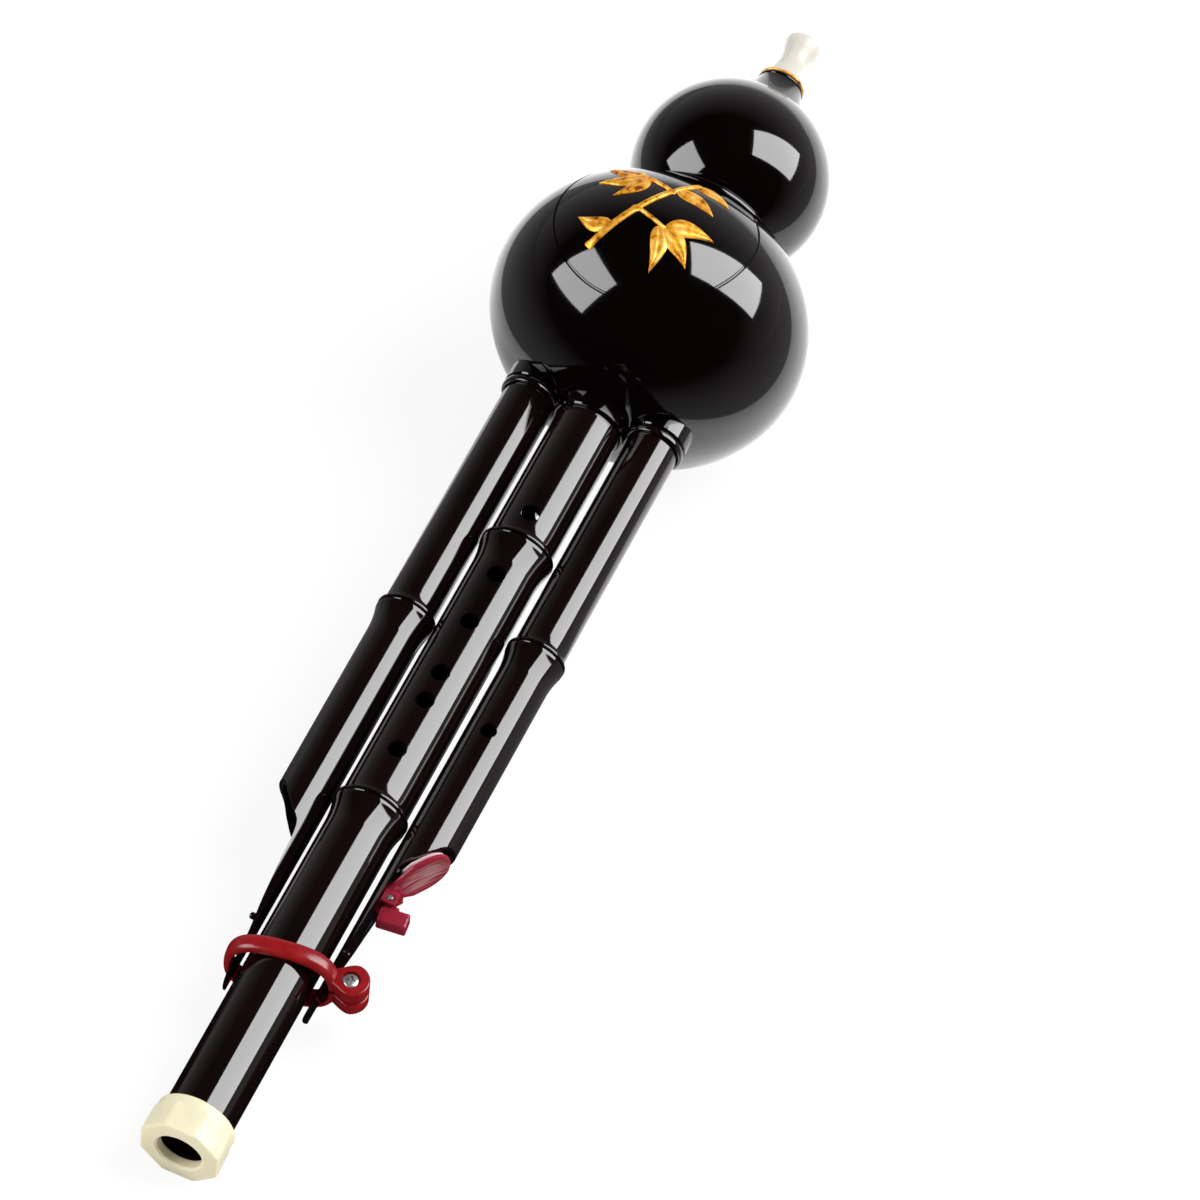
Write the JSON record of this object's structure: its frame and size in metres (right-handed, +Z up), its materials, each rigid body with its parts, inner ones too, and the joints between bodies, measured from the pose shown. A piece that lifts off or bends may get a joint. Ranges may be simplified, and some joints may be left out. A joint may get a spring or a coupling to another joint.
{
  "type": "hulusi",
  "caption": "Gourd flute: two-bulb gourd with mouthpiece, a fingered main pipe between drone pipes tied by a clamp, and a hinged key that opens a drone.",
  "frame": {"origin": "centre of the footprint of the flute lying on its back, on the surface it lies on", "axes": "+Z up, away from the surface and out of the finger holes; +Y from the end cap to the mouthpiece; +X to the side of the drone key. The flute's own axis rises 6.5 degrees towards +Y, because the gourd is fatter than the end cap."},
  "size_m": [0.0918, 0.4156, 0.092],
  "materials": {
    "cream_cap": "satin cream plastic, slightly translucent",
    "black_pipes": "polished black-brown lacquered plastic",
    "black_gourd": "polished black-brown lacquered plastic",
    "gilding": "mottled gold leaf",
    "milk_mouthpiece": "milky translucent plastic",
    "red_clamp": "glossy deep red plastic",
    "zinc_screw": "bright zinc plate",
    "brass_reed": "rolled brass",
    "crimson_key": "glossy crimson plastic, slightly translucent",
    "key_pad": "soft translucent pad"
  },
  "bodies": {
    "flute": {"end_cap": "cream_cap", "main_pipe": "black_pipes", "left_drone": "black_pipes", "right_drone": "black_pipes", "left_ring": "black_pipes", "right_ring": "black_pipes", "lower_bulb": "black_gourd", "waist_ring": "black_gourd", "upper_bulb": "black_gourd", "neck_ferrule": "black_gourd", "neck_rim": "gilding", "gilded_sprig": "gilding", "clamp": "red_clamp", "clamp_screw": "zinc_screw", "clamp_nut": "zinc_screw", "main_plug": "black_pipes", "left_plug": "black_pipes", "right_plug": "black_pipes", "main_reed": "brass_reed", "left_reed": "brass_reed", "right_reed": "brass_reed", "left_stud": "black_pipes", "right_stud": "black_pipes", "key_bracket": "crimson_key", "key_pin": "zinc_screw"},
    "key": {"drone_key": "crimson_key", "key_pad": "key_pad"},
    "mouthpiece": {"mouthpiece": "milk_mouthpiece"}
  },
  "joints": [
    {"name": "key_hinge", "type": "hinge", "parent": "flute", "child": "key", "pos_m": [0.017, -0.11046, 0.02088], "axis": [0, 0.1127, -0.9936], "range_deg": [0, 20]},
    {"name": "mouthpiece_pull", "type": "slide", "parent": "flute", "child": "mouthpiece", "axis": [0, 0.9936, 0.1127], "range_m": [0, 0.013]}
  ]
}
